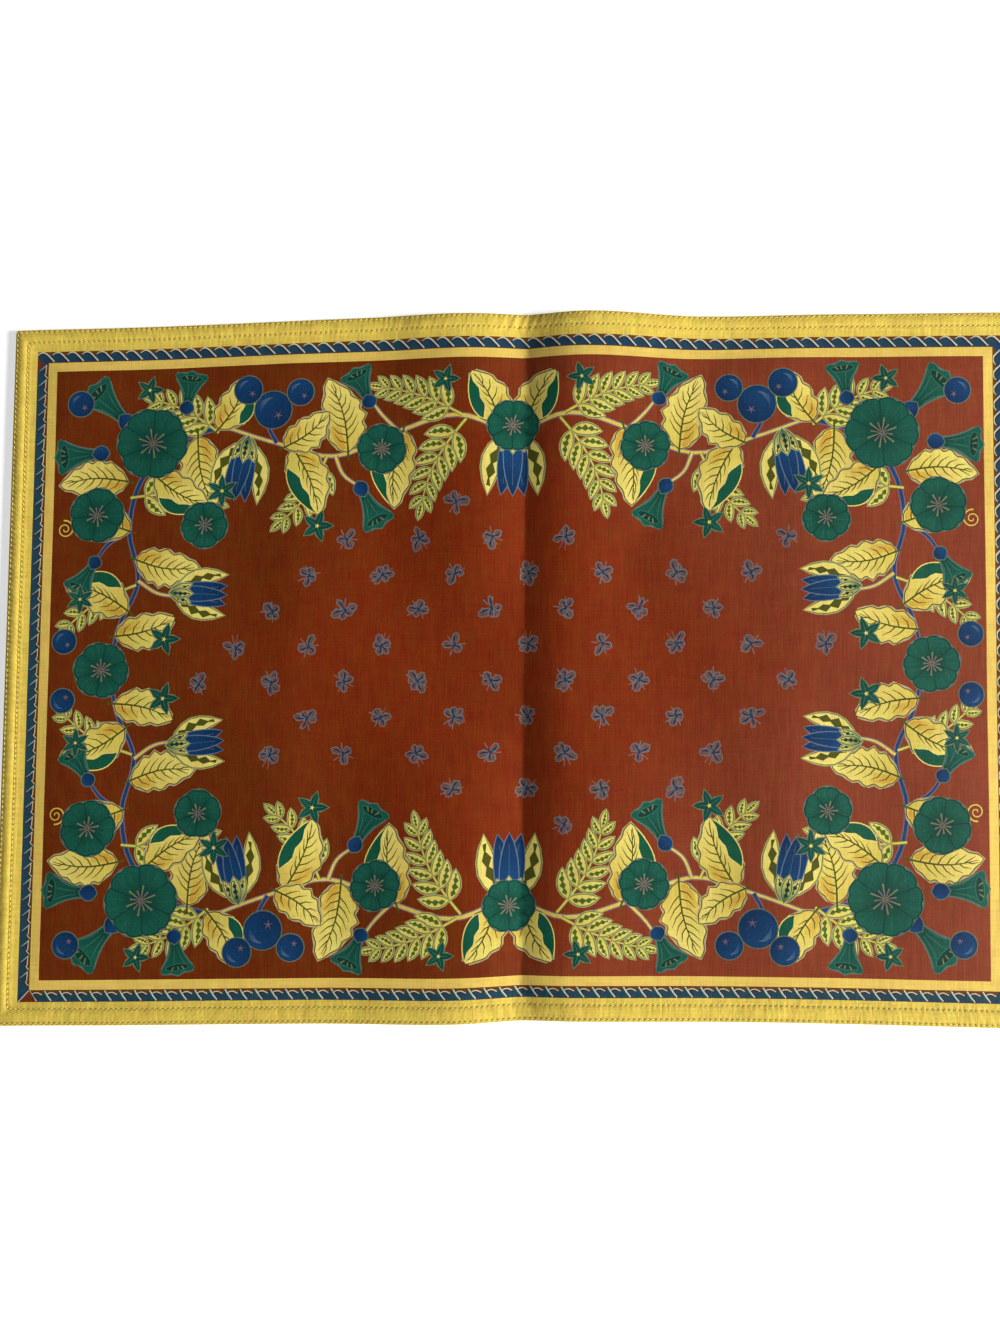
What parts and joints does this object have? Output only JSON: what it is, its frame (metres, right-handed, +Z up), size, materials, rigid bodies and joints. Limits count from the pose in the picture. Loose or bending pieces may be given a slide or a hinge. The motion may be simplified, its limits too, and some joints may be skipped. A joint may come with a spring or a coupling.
{
  "type": "fabric placemat",
  "caption": "Rectangular cotton placemat with stitched double-turned hem, printed floral and cable border, and a soft valley crease, lying flat.",
  "frame": {"origin": "middle of the mat's bounding box, on the surface it lies on", "axes": "+X along the mat's long sides, +Y across it towards its back side, +Z up out of the printed face"},
  "size_m": [0.4854, 0.3342, 0.0067],
  "materials": {
    "printed_cotton": "dull printed plain-weave cotton, rust-red field with yellow hem"
  },
  "bodies": {
    "root": {"placemat": "printed_cotton"}
  },
  "joints": []
}
